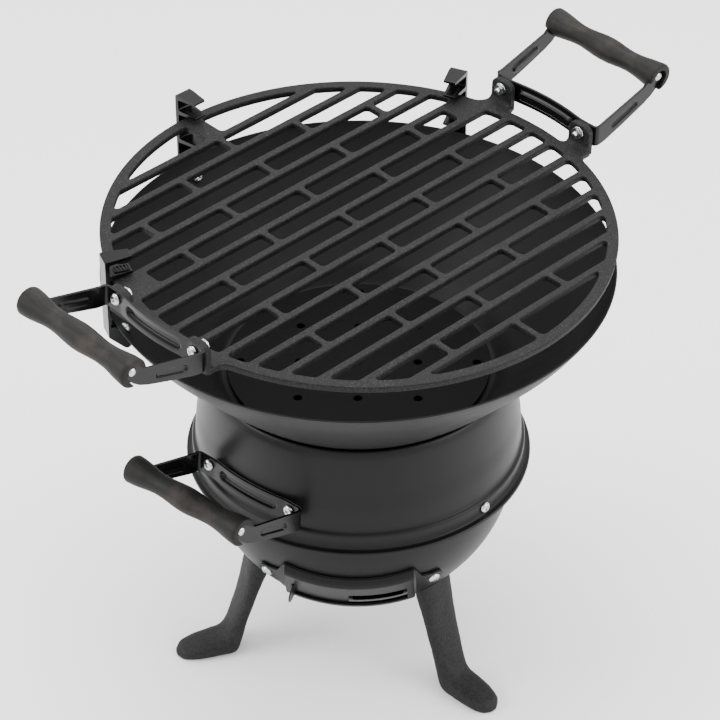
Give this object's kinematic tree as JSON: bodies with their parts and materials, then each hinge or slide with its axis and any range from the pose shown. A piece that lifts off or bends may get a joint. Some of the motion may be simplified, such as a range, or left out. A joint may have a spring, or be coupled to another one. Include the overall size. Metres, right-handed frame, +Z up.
{
  "type": "fire pit with grate",
  "caption": "Barrel fire pit on splayed legs, with a flared fire bowl, a notched support for a sliding cooking grate, an air vent and carrying handles.",
  "frame": {"origin": "on the ground under the barrel's axis, which is the middle of the bounding box within 2.6 mm", "axes": "+Z up; X runs through the grate's two handles, with the body handle at -X; -Y is the side to which the grate slides out"},
  "size_m": [0.518, 0.3611, 0.4099],
  "materials": {
    "cast_iron": "matte dark grey, gritty cast skin",
    "satin_black": "satin black heat-resistant paint",
    "gloss_black": "gloss black",
    "grip_wood": "matte black-brown with light wear",
    "zinc": "bright zinc plate"
  },
  "bodies": {
    "stand": {"belly_screw_1": "zinc", "belly_screw_2": "zinc", "belly_screw_3": "zinc", "body_handle_bracket": "gloss_black", "body_handle_grip": "grip_wood", "body_handle_nut_1": "zinc", "body_handle_nut_2": "zinc", "body_handle_rod": "zinc", "body_handle_screw_1": "zinc", "body_handle_screw_2": "zinc", "bowl_bolt_1": "zinc", "bowl_bolt_2": "zinc", "bowl_bolt_3": "zinc", "fire_bowl": "satin_black", "grate_support_1": "gloss_black", "grate_support_2": "gloss_black", "grate_support_3": "gloss_black", "leg_1": "cast_iron", "leg_2": "cast_iron", "leg_3": "cast_iron", "leg_bolt_1": "zinc", "leg_bolt_2": "zinc", "leg_bolt_3": "zinc", "lower_bowl": "satin_black", "support_screw_1": "zinc", "support_screw_2": "zinc", "support_screw_3": "zinc", "upper_shell": "satin_black", "vent_frame": "satin_black", "vent_nut_1": "zinc", "vent_nut_2": "zinc", "vent_screw_1": "zinc", "vent_screw_2": "zinc"},
    "grate": {"cooking_grate": "cast_iron", "left_handle_bracket": "gloss_black", "left_handle_grip": "grip_wood", "left_handle_nut_1": "zinc", "left_handle_nut_2": "zinc", "left_handle_rod": "zinc", "left_handle_screw_1": "zinc", "left_handle_screw_2": "zinc", "right_handle_bracket": "gloss_black", "right_handle_grip": "grip_wood", "right_handle_nut_1": "zinc", "right_handle_nut_2": "zinc", "right_handle_rod": "zinc", "right_handle_screw_1": "zinc", "right_handle_screw_2": "zinc"},
    "vent_door": {"vent_door": "satin_black"},
    "charcoal_plate": {"charcoal_plate": "satin_black"}
  },
  "joints": [
    {"name": "grate_slide", "type": "slide", "parent": "stand", "child": "grate", "axis": [0, -0.9996, -0.0279], "range_m": [0, 0.04]},
    {"name": "vent_door_slide", "type": "hinge", "parent": "stand", "child": "vent_door", "pos_m": [0, 0, 0.16811], "axis": [-0.3552, -0.3187, 0.8788], "range_deg": [0, 20.5]},
    {"name": "charcoal_plate_lift", "type": "slide", "parent": "stand", "child": "charcoal_plate", "axis": [0, 0, 1], "range_m": [0, 0.05]}
  ]
}
